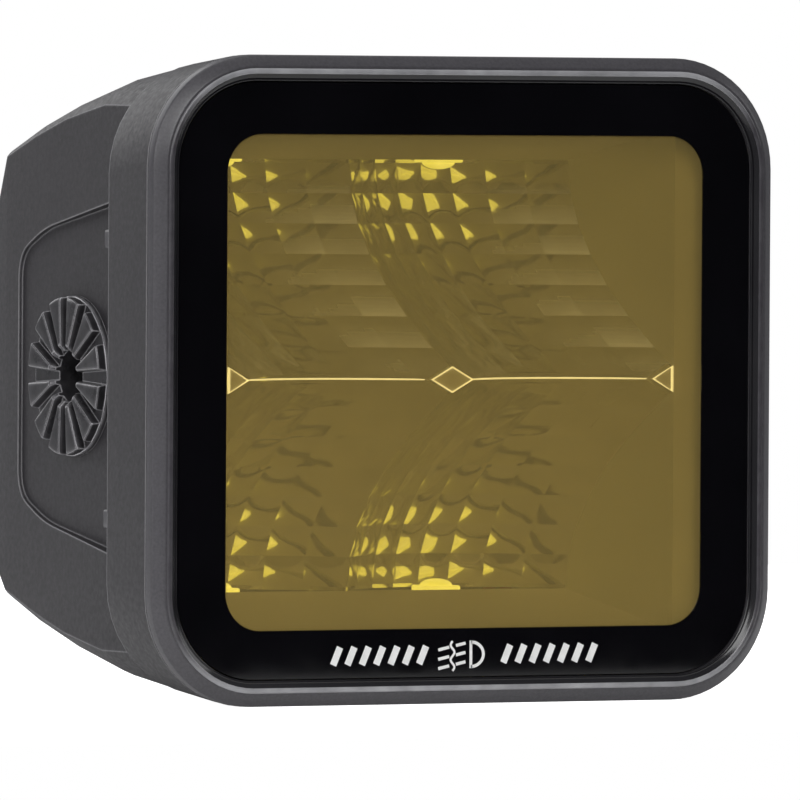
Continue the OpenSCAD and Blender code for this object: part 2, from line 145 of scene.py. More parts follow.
def eased(node, name, material, width, segments=2, angle=30.0):
    # a merged copy of a node's own mesh with its sharp edges rounded off by a bevel
    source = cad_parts[node]
    mesh = source.data.copy()
    mesh.name = name
    bm = bmesh.new()
    bm.from_mesh(mesh)
    bm.transform(source.matrix_world)
    bmesh.ops.remove_doubles(bm, verts=bm.verts, dist=2e-6)
    bmesh.ops.dissolve_limit(bm, angle_limit=math.radians(0.6), verts=bm.verts, edges=bm.edges)
    finishShading(bm, angle)
    bm.to_mesh(mesh)
    bm.free()
    piece = addObject(name, mesh, material)
    bevel = piece.modifiers.new("easedEdges", "BEVEL")
    bevel.width = width * mm
    bevel.segments = segments
    bevel.limit_method = "ANGLE"
    bevel.angle_limit = math.radians(angle)
    bevel.harden_normals = True
    bevel.miter_outer = "MITER_ARC"
    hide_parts(node)
    return piece


def roundedRing(halfW, halfH, radius, arcSteps=12, sideSteps=10):
    # points round a rectangle whose corners are quarter circles, anticlockwise from the right-hand side
    quarter = np.linspace(0.0, math.pi / 2, arcSteps)
    side = np.linspace(0.0, 1.0, sideSteps + 2)[1:-1]
    parts = []
    for turn in range(4):
        a = quarter + turn * math.pi / 2
        cx = (halfW - radius) * (1 if turn in (0, 3) else -1)
        cz = (halfH - radius) * (1 if turn in (0, 1) else -1)
        arc = np.stack([cx + radius * np.cos(a), cz + radius * np.sin(a)], axis=-1)
        nextTurn = (turn + 1) % 4
        nx = (halfW - radius) * (1 if nextTurn in (0, 3) else -1)
        nz = (halfH - radius) * (1 if nextTurn in (0, 1) else -1)
        a2 = nextTurn * math.pi / 2
        start = np.array([nx + radius * math.cos(a2), nz + radius * math.sin(a2)])
        parts.append(arc)
        parts.append(arc[-1] + side[:, None] * (start - arc[-1]))
    return np.concatenate(parts)


def newMaterial(name):
    # an empty material with a Principled shader wired to its output
    material = bpy.data.materials.new(name)
    material.use_nodes = True
    tree = material.node_tree
    tree.nodes.clear()
    output = tree.nodes.new("ShaderNodeOutputMaterial")
    shader = tree.nodes.new("ShaderNodeBsdfPrincipled")
    tree.links.new(shader.outputs["BSDF"], output.inputs["Surface"])
    return material, tree, shader, output


def objectNoise(tree, scale, detail=2.0, rough=0.5):
    # soft noise over the object's own coordinates; scale is in waves a metre
    coords = tree.nodes.new("ShaderNodeTexCoord")
    noise = tree.nodes.new("ShaderNodeTexNoise")
    noise.inputs["Scale"].default_value = scale
    noise.inputs["Detail"].default_value = detail
    noise.inputs["Roughness"].default_value = rough
    tree.links.new(coords.outputs["Object"], noise.inputs["Vector"])
    return noise.outputs["Fac"]


def ramp(tree, source, stops):
    # colour between the stops (position, colour) by the value of source
    node = tree.nodes.new("ShaderNodeValToRGB")
    elements = node.color_ramp.elements
    while len(elements) < len(stops):
        elements.new(0.5)
    for element, (position, colour) in zip(elements, stops):
        element.position = position
        element.color = (*colour, 1.0)
    tree.links.new(source, node.inputs["Fac"])
    return node.outputs["Color"]


def spread(tree, source, low, high, fromLow=0.3, fromHigh=0.7):
    # low + (high - low) * (source - fromLow) / (fromHigh - fromLow), held between low and high
    node = tree.nodes.new("ShaderNodeMapRange")
    node.inputs["From Min"].default_value = fromLow
    node.inputs["From Max"].default_value = fromHigh
    node.inputs["To Min"].default_value = low
    node.inputs["To Max"].default_value = high
    tree.links.new(source, node.inputs["Value"])
    return node.outputs["Result"]


def bumped(tree, shader, source, strength, distance):
    # tilts the shader's normal as if source lifted the surface by distance in metres
    bump = tree.nodes.new("ShaderNodeBump")
    bump.inputs["Strength"].default_value = strength
    bump.inputs["Distance"].default_value = distance
    tree.links.new(source, bump.inputs["Height"])
    tree.links.new(bump.outputs["Normal"], shader.inputs["Normal"])


edgeWearAndHighlightRange = (0.93, 0.997)          # the dot product at which an edge is fully rubbed and highlighted, and not at all


def mixColours(tree, first, blend="MIX"):
    # first * (1 - factor) + second * factor, or first * second for MULTIPLY; the rest is wired by the caller
    mix = tree.nodes.new("ShaderNodeMix")
    mix.data_type = "RGBA"
    mix.blend_type = blend
    tree.links.new(first, mix.inputs["A"])
    return mix


def rubbedEdgesAndHighlight(tree, colour, look):
    # dot(rounded normal, true normal) falls below one only near an edge; there the colour turns paler,
    # partly as wear and partly as a painted highlight
    rounded = tree.nodes.new("ShaderNodeBevel")
    rounded.samples = 6
    rounded.inputs["Radius"].default_value = look["edgeReach"] * mm
    surface = tree.nodes.new("ShaderNodeNewGeometry")
    compare = tree.nodes.new("ShaderNodeVectorMath")
    compare.operation = "DOT_PRODUCT"
    tree.links.new(rounded.outputs["Normal"], compare.inputs[0])
    tree.links.new(surface.outputs["True Normal"], compare.inputs[1])
    mask = spread(tree, compare.outputs["Value"], look["edgeShare"], 0.0, *edgeWearAndHighlightRange)
    mix = mixColours(tree, colour)
    tree.links.new(mask, mix.inputs["Factor"])
    mix.inputs["B"].default_value = (*look["edge"], 1.0)
    return mix.outputs["Result"]


def finish(name, look):
    # colour drifts between two tones in patches, roughness in finer ones, and the grain lifts the surface
    material, tree, shader, output = newMaterial(name)
    patches = objectNoise(tree, look.get("patch", 60.0), 3.0)
    tone = ramp(tree, patches, [(0.3, look["dark"]), (0.7, look["light"])])
    # paler edges: partly wear, partly a painted highlight
    if "edge" in look:
        tone = rubbedEdgesAndHighlight(tree, tone, look)
    tree.links.new(tone, shader.inputs["Base Color"])
    wear = objectNoise(tree, look.get("wear", 200.0), 3.0)
    low, high = look.get("rough", (0.4, 0.5))
    tree.links.new(spread(tree, wear, low, high), shader.inputs["Roughness"])
    shader.inputs["Metallic"].default_value = look.get("metal", 0.0)
    shader.inputs["Coat Weight"].default_value = look.get("coat", 0.0)
    shader.inputs["IOR"].default_value = look.get("ior", 1.5)
    grain = objectNoise(tree, look.get("grain", 2500.0), 2.0)
    bumped(tree, shader, grain, look.get("lift", 0.3), look.get("height", 0.00002))
    # with a glow the part shines in its own tone: a painted glow, not a lamp
    if "glow" in look:
        tree.links.new(tone, shader.inputs["Emission Color"])
        shader.inputs["Emission Strength"].default_value = look["glow"]
    return material


powderCoatLook = {
    "dark": (0.0155, 0.0138, 0.0162), "light": (0.0275, 0.0252, 0.0285),
    "speckScale": 3600.0, "driftScale": 45.0, "driftDark": (0.86, 0.86, 0.88),
    "roughScale": 1400.0, "roughLow": 0.46, "roughHigh": 0.6,
    "bumpScale": 2600.0, "bumpStrength": 0.35, "bumpHeight": 0.00004,
    "edge": (0.27, 0.265, 0.275), "edgeShare": 0.8, "edgeReach": 0.4,
}


def powderCoat():
    # fine pale specks on a dark coat, over slow drifts of tone; pimpled like orange peel
    look = powderCoatLook
    material, tree, shader, output = newMaterial("matteBlackPowderCoat")
    specks = objectNoise(tree, look["speckScale"], 3.0, 0.7)
    tone = ramp(tree, specks, [(0.38, look["dark"]), (0.66, look["light"])])
    drift = objectNoise(tree, look["driftScale"])
    drift = ramp(tree, drift, [(0.3, look["driftDark"]), (0.7, (1.0, 1.0, 1.0))])
    mix = mixColours(tree, tone, "MULTIPLY")
    tree.links.new(drift, mix.inputs["B"])
    mix.inputs["Factor"].default_value = 1.0
    # the coat's edges turn paler: partly wear, partly a painted highlight
    tree.links.new(rubbedEdgesAndHighlight(tree, mix.outputs["Result"], look), shader.inputs["Base Color"])
    rough = objectNoise(tree, look["roughScale"])
    tree.links.new(spread(tree, rough, look["roughLow"], look["roughHigh"]), shader.inputs["Roughness"])
    peel = objectNoise(tree, look["bumpScale"], 2.0, 0.6)
    bumped(tree, shader, peel, look["bumpStrength"], look["bumpHeight"])
    return material


amberLook = {
    "tint": (0.90, 0.825, 0.58), "haze": 0.97, "hazeScale": 90.0,
    "scatter": (0.66, 0.50, 0.17), "scatterShare": 0.18, "ior": 1.5, "rough": 0.03,
}


def amberPlastic():
    # light passes straight on through an amber tint, a little scatters, and Fresnel gives the gloss
    look = amberLook
    material, tree, shader, output = newMaterial("clearAmberPlastic")
    tree.nodes.remove(shader)
    clear = tree.nodes.new("ShaderNodeBsdfTransparent")
    haze = objectNoise(tree, look["hazeScale"])
    low = tuple(look["haze"] * c for c in look["tint"])
    tree.links.new(ramp(tree, haze, [(0.3, low), (0.7, look["tint"])]), clear.inputs["Color"])
    body = tree.nodes.new("ShaderNodeBsdfDiffuse")
    body.inputs["Color"].default_value = (*look["scatter"], 1.0)
    gloss = tree.nodes.new("ShaderNodeBsdfGlossy")
    gloss.inputs["Roughness"].default_value = look["rough"]
    inner = tree.nodes.new("ShaderNodeMixShader")
    inner.inputs["Fac"].default_value = look["scatterShare"]
    tree.links.new(clear.outputs["BSDF"], inner.inputs[1])
    tree.links.new(body.outputs["BSDF"], inner.inputs[2])
    fresnel = tree.nodes.new("ShaderNodeFresnel")
    fresnel.inputs["IOR"].default_value = look["ior"]
    outer = tree.nodes.new("ShaderNodeMixShader")
    tree.links.new(fresnel.outputs["Fac"], outer.inputs["Fac"])
    tree.links.new(inner.outputs["Shader"], outer.inputs[1])
    tree.links.new(gloss.outputs["BSDF"], outer.inputs[2])
    tree.links.new(outer.outputs["Shader"], output.inputs["Surface"])
    return material


mirrorLook = {
    "dark": (0.74, 0.72, 0.66), "light": (0.86, 0.84, 0.78), "cloudScale": 160.0,
    "metal": 0.86, "paintedReflectionMetal": 0.3, "paintedReflectionGlow": 0.19,
    "roughScale": 600.0, "roughLow": 0.06, "roughHigh": 0.13,
    "rippleScale": 520.0, "rippleStrength": 0.35, "rippleHeight": 0.00005,
}


def metallised():
    # bright vacuum coat with a slight ripple; faces with a high painted reflection tone are less metallic
    # and glow a little: painted reflections of the surroundings
    look = mirrorLook
    material, tree, shader, output = newMaterial("metallisedCoat")
    cloud = objectNoise(tree, look["cloudScale"], 3.0)
    tone = ramp(tree, cloud, [(0.3, look["dark"]), (0.7, look["light"])])
    tree.links.new(tone, shader.inputs["Base Color"])
    tile = tree.nodes.new("ShaderNodeAttribute")
    tile.attribute_name = "paintedReflectionTone"
    metal = spread(tree, tile.outputs["Fac"], look["metal"], look["paintedReflectionMetal"], 0.0, 1.0)
    tree.links.new(metal, shader.inputs["Metallic"])
    # painted reflection: the lighter faces glow a little in the coat's own tone
    tree.links.new(tone, shader.inputs["Emission Color"])
    glow = spread(tree, tile.outputs["Fac"], 0.0, look["paintedReflectionGlow"], 0.05, 1.0)
    tree.links.new(glow, shader.inputs["Emission Strength"])
    fine = objectNoise(tree, look["roughScale"], 3.0)
    tree.links.new(spread(tree, fine, look["roughLow"], look["roughHigh"]), shader.inputs["Roughness"])
    ripple = objectNoise(tree, look["rippleScale"], 3.0)
    bumped(tree, shader, ripple, look["rippleStrength"], look["rippleHeight"])
    return material


coat = powderCoat()
amber = amberPlastic()
mirror = metallised()
satinWall = finish("satinReflectorWall", {
    "dark": (0.74, 0.72, 0.68), "light": (0.80, 0.78, 0.74), "patch": 60.0, "rough": (0.55, 0.65),
    "grain": 900.0, "lift": 0.1})
# painted highlight: the crest glows in its own pale tone
crestPaintedGlow = finish("crestGlowPaintedHighlight", {
    "dark": (0.84, 0.80, 0.62), "light": (0.95, 0.91, 0.74), "patch": 400.0, "rough": (0.2, 0.3),
    "lift": 0.05, "glow": 1.6})
innerPlastic = finish("glossBezelSlope", {
    "dark": (0.006, 0.0055, 0.007), "light": (0.011, 0.0105, 0.012), "rough": (0.14, 0.2), "lift": 0.1})
bezelPlastic = finish("satinBezelPlastic", {
    "dark": (0.047, 0.045, 0.050), "light": (0.067, 0.064, 0.071), "patch": 3000.0,
    "rough": (0.30, 0.38), "grain": 3000.0, "lift": 0.25, "height": 0.00002})
blackPrint = finish("glossBlackBorder", {
    "dark": (0.0018, 0.0017, 0.0024), "light": (0.003, 0.0028, 0.0038), "rough": (0.05, 0.09), "lift": 0.03,
    "grain": 400.0})


crestLook = {
    "plainBelow": 0.033, "paleAbove": 0.0398, "rough": 0.24,
    "dark": [(0.3, (0.045, 0.042, 0.048)), (0.7, (0.065, 0.062, 0.068))],
    "pale": [(0.3, (0.24, 0.24, 0.25)), (0.7, (0.36, 0.36, 0.375))],
}


def makeCrestHighlight():
    # the lip's crest is paler along the top and bottom, a painted highlight: mix by |z| between two heights
    look = crestLook
    material, tree, shader, output = newMaterial("bezelCrestPaintedHighlight")
    coords = tree.nodes.new("ShaderNodeTexCoord")
    parts = tree.nodes.new("ShaderNodeSeparateXYZ")
    tree.links.new(coords.outputs["Object"], parts.inputs["Vector"])
    away = tree.nodes.new("ShaderNodeMath")
    away.operation = "ABSOLUTE"
    tree.links.new(parts.outputs["Z"], away.inputs[0])
    share = spread(tree, away.outputs["Value"], 0.0, 1.0, look["plainBelow"], look["paleAbove"])
    mix = mixColours(tree, ramp(tree, objectNoise(tree, 700.0), look["dark"]))
    tree.links.new(share, mix.inputs["Factor"])
    tree.links.new(ramp(tree, objectNoise(tree, 300.0), look["pale"]), mix.inputs["B"])
    tree.links.new(mix.outputs["Result"], shader.inputs["Base Color"])
    shader.inputs["Roughness"].default_value = look["rough"]
    return material


crestHighlightPlastic = makeCrestHighlight()
rubber = finish("sealRubber", {
    "dark": (0.018, 0.018, 0.018), "light": (0.035, 0.035, 0.035), "rough": (0.6, 0.75), "lift": 0.4})
# the hub's pale edges are partly wear, partly a painted highlight
hubSteel = finish("blackOxideSteel", {
    "dark": (0.022, 0.021, 0.023), "light": (0.045, 0.043, 0.047), "patch": 700.0,
    "rough": (0.24, 0.34), "metal": 0.3, "edge": (0.50, 0.49, 0.51), "edgeShare": 0.9, "edgeReach": 0.26,
    "grain": 2200.0, "lift": 0.3, "height": 0.00003})
boardMask = finish("whiteSolderMask", {
    "dark": (0.72, 0.70, 0.62), "light": (0.82, 0.80, 0.72), "patch": 250.0, "rough": (0.3, 0.42),
    "lift": 0.1})
# painted glow: the unlit LED phosphor glows so that it and its images in the facets show bright
phosphorPaintedGlow = finish("yellowPhosphorPaintedGlow", {
    "dark": (0.80, 0.76, 0.15), "light": (0.90, 0.86, 0.26), "patch": 500.0, "rough": (0.25, 0.35),
    "coat": 0.4, "lift": 0.1, "glow": 1.6})
padGrey = finish("thermalPadGrey", {
    "dark": (0.20, 0.24, 0.36), "light": (0.28, 0.32, 0.46), "rough": (0.7, 0.85), "lift": 0.5})
zinc = finish("zincPlatedSteel", {
    "dark": (0.45, 0.46, 0.48), "light": (0.62, 0.62, 0.63), "patch": 400.0, "rough": (0.22, 0.36),
    "metal": 1.0, "lift": 0.15})
greenMask = finish("greenSolderMask", {
    "dark": (0.012, 0.09, 0.035), "light": (0.02, 0.15, 0.06), "patch": 350.0, "rough": (0.25, 0.4),
    "coat": 0.3, "grain": 900.0, "lift": 0.2})
copper = finish("enamelledWinding", {
    "dark": (0.16, 0.05, 0.02), "light": (0.42, 0.17, 0.06), "patch": 1500.0, "rough": (0.25, 0.4),
    "metal": 0.6, "grain": 1800.0, "lift": 0.6, "height": 0.00008})
sleeve = finish("capacitorSleeve", {
    "dark": (0.012, 0.015, 0.03), "light": (0.03, 0.035, 0.06), "rough": (0.2, 0.3), "lift": 0.1})
epoxy = finish("mouldedEpoxy", {
    "dark": (0.01, 0.01, 0.011), "light": (0.02, 0.02, 0.021), "patch": 900.0, "rough": (0.5, 0.65),
    "lift": 0.3})
nylon = finish("naturalNylon", {
    "dark": (0.62, 0.58, 0.46), "light": (0.74, 0.70, 0.60), "rough": (0.4, 0.5), "lift": 0.15})
leadRed = finish("redLeadInsulation", {
    "dark": (0.30, 0.01, 0.008), "light": (0.42, 0.02, 0.012), "rough": (0.3, 0.4), "lift": 0.15})
blackNylon = finish("blackNylon", {
    "dark": (0.018, 0.018, 0.019), "light": (0.034, 0.034, 0.035), "patch": 500.0, "rough": (0.42, 0.56),
    "grain": 2400.0, "lift": 0.3})
film = finish("breathableFilm", {
    "dark": (0.70, 0.70, 0.69), "light": (0.84, 0.84, 0.83), "patch": 1400.0, "rough": (0.8, 0.9),
    "lift": 0.5})
whitePrint = finish("whitePrint", {
    "dark": (0.74, 0.74, 0.73), "light": (0.86, 0.86, 0.85), "patch": 700.0, "rough": (0.4, 0.5),
    "lift": 0.05})
print("materials made")

carried = {
    "lens": amber, "lens_mask": blackPrint, "lens_gasket": rubber,
    "led_board_upper": boardMask, "led_board_lower": boardMask,
    "thermal_pad_upper": padGrey, "thermal_pad_lower": padGrey,
    "led_board_screws": zinc, "driver_screws": zinc, "driver_board": greenMask,
    "inductor": copper, "capacitors": sleeve, "power_transistors": epoxy,
    "board_connectors": nylon, "led_leads_upper": leadRed, "led_leads_lower": leadRed,
    "gland_seal": rubber, "gland_nut": blackNylon, "vent_membrane": film,
}
for node, material in carried.items():
    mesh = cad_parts[node].data
    mesh.materials.clear()
    mesh.materials.append(material)

bezelLook = {
    "profile": [(0.0, 2.8), (0.0, 1.55), (0.05, 1.35), (0.2, 1.2), (1.3, 0.30), (1.45, 0.21), (1.6, 0.2),
                (1.75, 0.19), (1.82, 0.08), (1.95, 0.01), (2.15, 0.0), (2.32, 0.03), (2.45, 0.12),
                (2.7, 0.36), (3.0, 0.56), (3.15, 0.52), (3.28, 0.56), (3.36, 0.66), (3.4, 0.8), (3.4, 2.8)],
    "crestFrom": 1.78, "crestTo": 2.42, "crestDepth": 0.3, "slopeDepth": 1.0,
    "cornerR": 14.5, "clipX": 43.3, "clipZ": 18.1, "clipW": 1.3, "clipH": 2.4, "clipR": 0.3,
    "clipFrom": 2.0, "clipEnd": 18.3, "clipEase": 0.2,
}


def makeBezel():
    # the profile (inset from the outline, depth) is carried round the rounded rectangle; four arms run back
    look = bezelLook
    shell = Shell()
    rings = []
    for inset, depth in look["profile"]:
        ring = roundedRing(faceHalfW - inset, faceHalfH - inset, look["cornerR"] - inset, 16, 14)
        rings.append(place(ring[:, 0], depth, ring[:, 1]))
    shell.addGrid(np.stack(rings), closeRows=True, closeColumns=True)
    ease = look["clipEase"]
    clipEnd = look["clipEnd"]
    steps = [(look["clipFrom"], 0.0), (clipEnd - ease, 0.0),
             (clipEnd - ease * 0.3, ease * 0.3), (clipEnd, ease)]
    for sx in (-1, 1):
        for sz in (-1, 1):
            arms = []
            for depth, inset in steps:
                ring = roundedRing(look["clipW"] / 2 - inset, look["clipH"] / 2 - inset, look["clipR"], 5, 2)
                arms.append(place(sx * look["clipX"] + ring[:, 0], depth, sz * look["clipZ"] + ring[:, 1]))
            shell.addGrid(np.stack(arms), closeColumns=True)
            shell.addCap(arms[0])
            shell.addCap(arms[-1])
    piece = makePiece("clippedBezel", shell, bezelPlastic, 35.0)
    # the inset of each face's middle from the rounded outline picks its finish: crest (with a painted
    # highlight along the top and bottom), inner slope or plain
    mesh = piece.data
    mesh.materials.append(crestHighlightPlastic)
    mesh.materials.append(innerPlastic)
    middle = np.empty(len(mesh.polygons) * 3)
    mesh.polygons.foreach_get("center", middle)
    middle = middle.reshape(-1, 3) / mm
    cornerR = look["cornerR"]
    qx = np.abs(middle[:, 0]) - (faceHalfW - cornerR)
    qz = np.abs(middle[:, 2]) - (faceHalfH - cornerR)
    beyond = np.hypot(np.maximum(qx, 0.0), np.maximum(qz, 0.0))
    inset = cornerR - beyond - np.minimum(np.maximum(qx, qz), 0.0)
    front = middle[:, 1] - frontY / mm
    finishIndex = np.where((inset > look["crestFrom"]) & (front < look["slopeDepth"]), 2, 0)
    finishIndex[(inset > look["crestFrom"]) & (inset < look["crestTo"]) & (front < look["crestDepth"])] = 1
    mesh.polygons.foreach_set("material_index", finishIndex.astype(np.int32))
    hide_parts("bezel")


makeBezel()
print("bezel made")

reflectorLook = {
    "bowlW": 33.0, "bowlH": 28.5, "depth": 40.0, "ridge": 4.9, "rim": 31.6, "columns": 8, "rowH": 4.0,
    "steps": 8, "pillowTop": 0.44, "pillowRidge": 0.14, "jitter": 0.06, "crest": 0.3,
    "mouth": 33.0, "mouthDepth": 4.8, "flangeW": 38.2, "flangeH": 35.4, "flangeLift": 0.1, "wall": 1.2,
    # the tile keys place the painted reflections on the facets
    "tileFrom": 4.5, "tileTo": 13.0, "lowerTiles": 0.12, "tileFade": 1.4,
}


def halfLines(edges, steps, crest):
    # cuts each cell into equal steps and adds close lines beside the crest at zero
    lines = [np.array([0.0, 0.1, 0.22, 0.38]) * crest / 0.3]
    for a, b in zip(edges[:-1], edges[1:]):
        count = steps if b - a > 1.0 else 2
        lines.append(np.linspace(a, b, count + 1))
    lines = np.unique(np.round(np.concatenate(lines), 6))
    return np.concatenate([-lines[:0:-1], lines])


def bowlSurface(x, z):
    # paraboloid d = apex - r^2 / 4f at the cell corners, flat between them, plus a pillow on each cell:
    # p * (1 - (2u - 1)^2) * (1 - (2v - 1)^2); crests are softened with sqrt(s^2 + c^2)
    look = reflectorLook
    fourF = look["rim"] ** 2 / look["depth"]
    crest = look["crest"]
    ax = np.minimum(np.sqrt(x * x + crest * crest * 0.5), look["bowlW"])
    az = np.minimum(np.sqrt(z * z + crest * crest), look["bowlH"])
    cellW = look["bowlW"] / look["columns"]
    column = np.clip(np.floor(ax / cellW), 0, look["columns"] - 1)
    u = ax / cellW - column
    rows = int(look["bowlH"] / look["rowH"])
    rowEdges = np.append(np.arange(rows + 1) * look["rowH"], look["bowlH"])
    row = np.clip(np.searchsorted(rowEdges, az, side="right") - 1, 0, len(rowEdges) - 2)
    z0 = rowEdges[row]
    z1 = rowEdges[row + 1]
    v = (az - z0) / (z1 - z0)

    def corner(cx, cz):
        r2 = (cx - look["bowlW"] / 2) ** 2 + (look["bowlH"] - cz) ** 2
        uneven = look["jitter"] * np.sin(2.7 * cx / cellW + 4.1 * cz + 1.3 * np.sin(3.1 * cx + cz))
        return look["ridge"] + look["depth"] - r2 / fourF + uneven * np.clip(cz / 8.0, 0.0, 1.0)

    x0 = column * cellW
    x1 = x0 + cellW
    flat = (corner(x0, z0) * (1 - u) * (1 - v) + corner(x1, z0) * u * (1 - v)
            + corner(x0, z1) * (1 - u) * v + corner(x1, z1) * u * v)
    r2 = (ax - look["bowlW"] / 2) ** 2 + (look["bowlH"] - az) ** 2
    smooth = look["ridge"] + look["depth"] - r2 / fourF
    nearRidge = np.clip((2.0 - az) / 1.6, 0.0, 1.0)
    nearCorner = np.clip((6.0 - np.hypot(np.minimum(ax, look["bowlW"] - ax), az)) / 1.5, 0.0, 1.0)
    blend = np.maximum(nearRidge, nearCorner)
    share = az / look["bowlH"]
    pillow = look["pillowRidge"] + (look["pillowTop"] - look["pillowRidge"]) * share
    pillow = np.where(z1 - z0 > 1.0, pillow, 0.0)
    raised = pillow * (1 - (2 * u - 1) ** 2) * (1 - (2 * v - 1) ** 2)
    return np.maximum((flat - raised) * (1 - blend) + smooth * blend, look["ridge"])


def paintTileReflections(mesh):
    # how strong the painted reflection on each small face is: (1 - v)^tileFade up each facet, times a rise
    # towards each bowl's right-hand side in the upper bowls, times an unevenness that steps with column and
    # row
    look = reflectorLook
    middle = np.empty(len(mesh.polygons) * 3)
    mesh.polygons.foreach_get("center", middle)
    x, _, z = middle.reshape(-1, 3).T / mm
    cellW = look["bowlW"] / look["columns"]
    across = x - np.sign(x) * look["bowlW"] / 2
    v = np.abs(z) / look["rowH"]
    row = np.floor(v)
    column = np.floor(np.abs(x) / cellW)
    rise = (1.0 - (v - row)) ** look["tileFade"]
    side = np.clip((across - look["tileFrom"]) / (look["tileTo"] - look["tileFrom"]), 0.0, 1.0)
    uneven = 0.5 + 0.5 * np.sin(2.4 * column + 1.9 * row + 2.0 * np.sign(x))
    reach = np.clip(np.minimum(np.abs(z) / 2.0, (26.0 - np.abs(z)) / 3.0), 0.0, 1.0)
    tone = rise * reach * np.where(z > 0, side, look["lowerTiles"]) * (0.5 + 0.5 * uneven)
    layer = mesh.attributes.new("paintedReflectionTone", "FLOAT", "FACE")
    layer.data.foreach_set("value", tone.astype(np.float32))


def makeReflector():
    # the four bowls are one height grid over (x, z); the walls and flange round them are ruled surfaces
    look = reflectorLook
    cellW = look["bowlW"] / look["columns"]
    xs = halfLines([k * cellW for k in range(look["columns"] + 1)], look["steps"], look["crest"])
    rows = int(look["bowlH"] / look["rowH"])
    zEdges = [k * look["rowH"] for k in range(rows + 1)] + [look["bowlH"]]
    zs = halfLines(zEdges, look["steps"], look["crest"])
    gx, gz = np.meshgrid(xs, zs, indexing="ij")
    depth = bowlSurface(gx, gz)
    bowls = Shell()
    bowls.addGrid(place(gx, depth, gz))
    piece = makePiece("facetedReflector", bowls, mirror, 11.0, outward=False, merge=2e-5)
    paintTileReflections(piece.data)
    thicken(piece, look["wall"])
    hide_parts("reflector")
    # side walls: ruled from the bowls' edges out to the mouth
    shell = Shell()
    t = np.linspace(0.0, 1.0, 9)[None, :]
    mouthZ = zs * look["mouth"] / look["bowlH"]
    for side in (-1, 1):
        edge = depth[0 if side < 0 else -1]
        wallD = edge[:, None] * (1 - t) + look["mouthDepth"] * t
        wallZ = zs[:, None] * (1 - t) + mouthZ[:, None] * t
        shell.addGrid(place(np.full_like(wallD, side * look["bowlW"]), wallD, wallZ), flip=side > 0)
    # ceiling and floor: ruled from behind the boards' front edge out to the mouth
    topD = depth[-1, -1]
    for side in (-1, 1):
        ceilD = np.full_like(xs, topD)[:, None] * (1 - t) + look["mouthDepth"] * t
        ceilZ = side * (look["bowlH"] * (1 - t) + look["mouth"] * t) * np.ones_like(xs)[:, None]
        ceilX = np.broadcast_to(xs[:, None], ceilD.shape)
        shell.addGrid(place(ceilX, ceilD, ceilZ), flip=side < 0)
    # flange round the mouth
    square = roundedRing(look["bowlW"] - 0.06, look["mouth"] - 0.06, 0.01, 2, 12)
    outer = roundedRing(look["flangeW"], look["flangeH"], 0.01, 2, 12)
    flangeDepth = look["mouthDepth"] - look["flangeLift"]
    flange = np.stack([place(square[:, 0], flangeDepth, square[:, 1]),
                       place(outer[:, 0], flangeDepth, outer[:, 1])])
    shell.addGrid(flange, closeColumns=True)
    frameWall = makePiece("reflectorMouth", shell, satinWall, 20.0, outward=False, merge=2e-5)
    thicken(frameWall, look["wall"])


def thicken(piece, wall):
    # gives an open surface its wall, behind the face that shows
    modifier = piece.modifiers.new("wall", "SOLIDIFY")
    modifier.thickness = wall * mm
    modifier.offset = -1.0


makeReflector()


def bowlCurve():
    # fourF of the paraboloid r^2 = fourF * d, and how far a lozenge reaches from the bowls' corner: across
    # w / 2 - sqrt(rim^2 - h^2), and up h - sqrt(rim^2 - (w / 2)^2)
    look = reflectorLook
    halfW = look["bowlW"] / 2 - math.sqrt(look["rim"] ** 2 - look["bowlH"] ** 2)
    halfH = look["bowlH"] - math.sqrt(look["rim"] ** 2 - (look["bowlW"] / 2) ** 2)
    return look["rim"] ** 2 / look["depth"], halfW, halfH


lozengeLook = {"lift": 0.3, "edge": 0.15, "growW": 2.4, "growH": 1.6, "widest": 1.12, "back": 2.6}


def makeLozenges():
    # flat lozenge where four bowls meet, and half ones at the side walls, each with a rounded edge that
    # glows as a painted highlight
    look = lozengeLook
    fourF, halfW, halfH = bowlCurve()
    ridge = reflectorLook["ridge"]
    front = ridge - look["lift"]
    wallX = reflectorLook["bowlW"] - look["edge"]
    layers = {
        "ridgeLozenges": (satinWall, [(ridge + look["back"], 1.5), (front + 0.12, 1.0), (front + 0.1, 0.9)]),
        "lozengeRims": (crestPaintedGlow, [(front + 0.2, look["widest"]), (front, 1.1), (front - 0.06, 1.05),
                                      (front, 1.0), (front + 0.2, 0.97)]),
    }
    for name, (material, steps) in layers.items():
        shell = Shell()
        for cx in (-wallX, 0.0, wallX):
            rings = []
            for depth, grow in steps:
                px = np.array([1.0, 0.0, -1.0, 0.0]) * (halfW + look["growW"] * (grow - 1.0)) + cx
                pz = np.array([0.0, 1.0, 0.0, -1.0]) * (halfH + look["growH"] * (grow - 1.0))
                if cx != 0.0:
                    limit = wallX - look["growW"] * (look["widest"] - grow)
                    px = np.clip(px, -limit, limit)
                rings.append(place(px, depth, pz))
            shell.addGrid(np.stack(rings), closeColumns=True, closeRows=name == "lozengeRims")
            if name != "lozengeRims":
                shell.addCap(rings[0])
                shell.addCap(rings[-1])
        makePiece(name, shell, material, 20.0)


makeLozenges()


beadLook = {"thick": 0.12, "sink": 0.12, "gap": 1.25}


